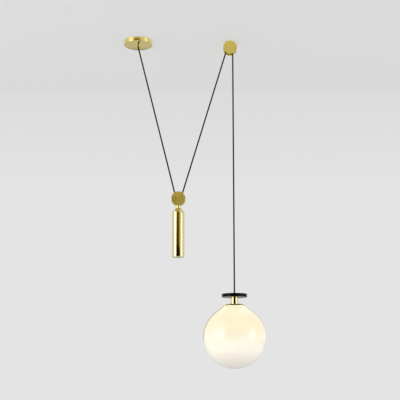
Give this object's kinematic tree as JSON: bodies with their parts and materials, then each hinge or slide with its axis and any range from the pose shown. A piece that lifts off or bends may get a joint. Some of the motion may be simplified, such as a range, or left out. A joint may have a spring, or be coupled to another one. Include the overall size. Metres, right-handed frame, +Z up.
{
  "type": "rise and fall pendant",
  "caption": "Opal globe pendant that rises and falls: its flex runs under a sheave on a brass counterweight and over a ceiling pulley to a canopy.",
  "frame": {"origin": "centre of the canopy's bracket on the ceiling plane", "axes": "+Z up, +X from the canopy towards the ceiling pulley, -Y towards the front, where the plain cheeks face"},
  "size_m": [0.5893, 0.251, 1.3775],
  "materials": {
    "satin_brass": "satin brushed and lacquered brass",
    "polished_brass": "polished and lacquered brass",
    "bronze": "sintered bronze",
    "steel": "zinc plated steel",
    "black_lacquer": "gloss black lacquer on aluminium",
    "opal_glass": "opal glass, glossy outside",
    "bulb_glass": "frosted white glass",
    "silicone": "silicone rubber",
    "porcelain": "white glazed porcelain",
    "moulding": "moulded white thermoplastic",
    "black_moulding": "moulded black thermoplastic",
    "flex": "oxblood brown braided textile flex",
    "core_insulation": "insulated wire"
  },
  "bodies": {
    "ceiling_mount": {"ceiling_bracket": "steel", "canopy_cup": "satin_brass", "canopy_grub_screws": "steel", "canopy_gland": "satin_brass", "canopy_gland_nut": "steel", "canopy_cord_clamp": "steel", "terminal_block": "moulding", "canopy_wires": "core_insulation", "canopy_cord_tail": "flex", "ceiling_hanger": "satin_brass", "ceiling_front_cheek": "satin_brass", "ceiling_rear_cheek": "satin_brass", "ceiling_axle": "steel", "ceiling_spacer_post": "satin_brass", "ceiling_block_screws": "steel", "ceiling_cord_wrap": "flex", "cord_left_leg": "flex", "cord_right_leg": "flex", "cord_drop": "flex"},
    "ceiling_wheel": {"ceiling_sheave": "satin_brass", "ceiling_bush": "bronze"},
    "counterweight": {"weight_front_cheek": "satin_brass", "weight_rear_cheek": "satin_brass", "weight_axle": "steel", "weight_spacer_post": "satin_brass", "weight_block_screws": "steel", "weight_yoke": "polished_brass", "weight_shell": "polished_brass", "weight_core": "steel", "weight_stud": "steel", "weight_base": "polished_brass", "weight_cord_wrap": "flex"},
    "weight_wheel": {"weight_sheave": "satin_brass", "weight_bush": "bronze"},
    "lamp": {"lamp_gland": "satin_brass", "lamp_tube": "steel", "disc_nut": "steel", "black_disc": "black_lacquer", "lamp_stem": "polished_brass", "globe_cap": "polished_brass", "globe_gasket": "silicone", "glass_globe": "opal_glass", "clamp_bar": "steel", "clamp_pads": "silicone", "clamp_nut": "steel", "holder_cap": "black_moulding", "holder_body": "porcelain", "holder_shell": "polished_brass", "holder_contact": "polished_brass", "bulb_base": "steel", "bulb_glass": "bulb_glass", "lamp_cord_tail": "flex"}
  },
  "joints": [
    {"name": "lamp_travel", "type": "slide", "parent": "ceiling_mount", "child": "lamp", "axis": [0, 0, 1], "range_m": [-0.45, 0.45], "deforming": ["cord_drop"]},
    {"name": "weight_travel", "type": "slide", "parent": "ceiling_mount", "child": "counterweight", "axis": [0, 0, 1], "range_m": [-0.25, 0.25], "deforming": ["cord_left_leg", "cord_right_leg"]},
    {"name": "ceiling_wheel_turn", "type": "hinge", "parent": "ceiling_mount", "child": "ceiling_wheel", "pos_m": [0.3923, 0, -0.03], "axis": [0, 1, 0], "continuous": true},
    {"name": "weight_wheel_turn", "type": "hinge", "parent": "counterweight", "child": "weight_wheel", "pos_m": [0.1752, 0, -0.686], "axis": [0, 1, 0], "continuous": true}
  ],
  "couplings": [
    {"joint": "weight_travel", "follows": "lamp_travel", "ratio": -0.52},
    {"joint": "ceiling_wheel_turn", "follows": "lamp_travel", "rad_per_m": -86.957},
    {"joint": "weight_wheel_turn", "follows": "lamp_travel", "rad_per_m": 55.556}
  ]
}
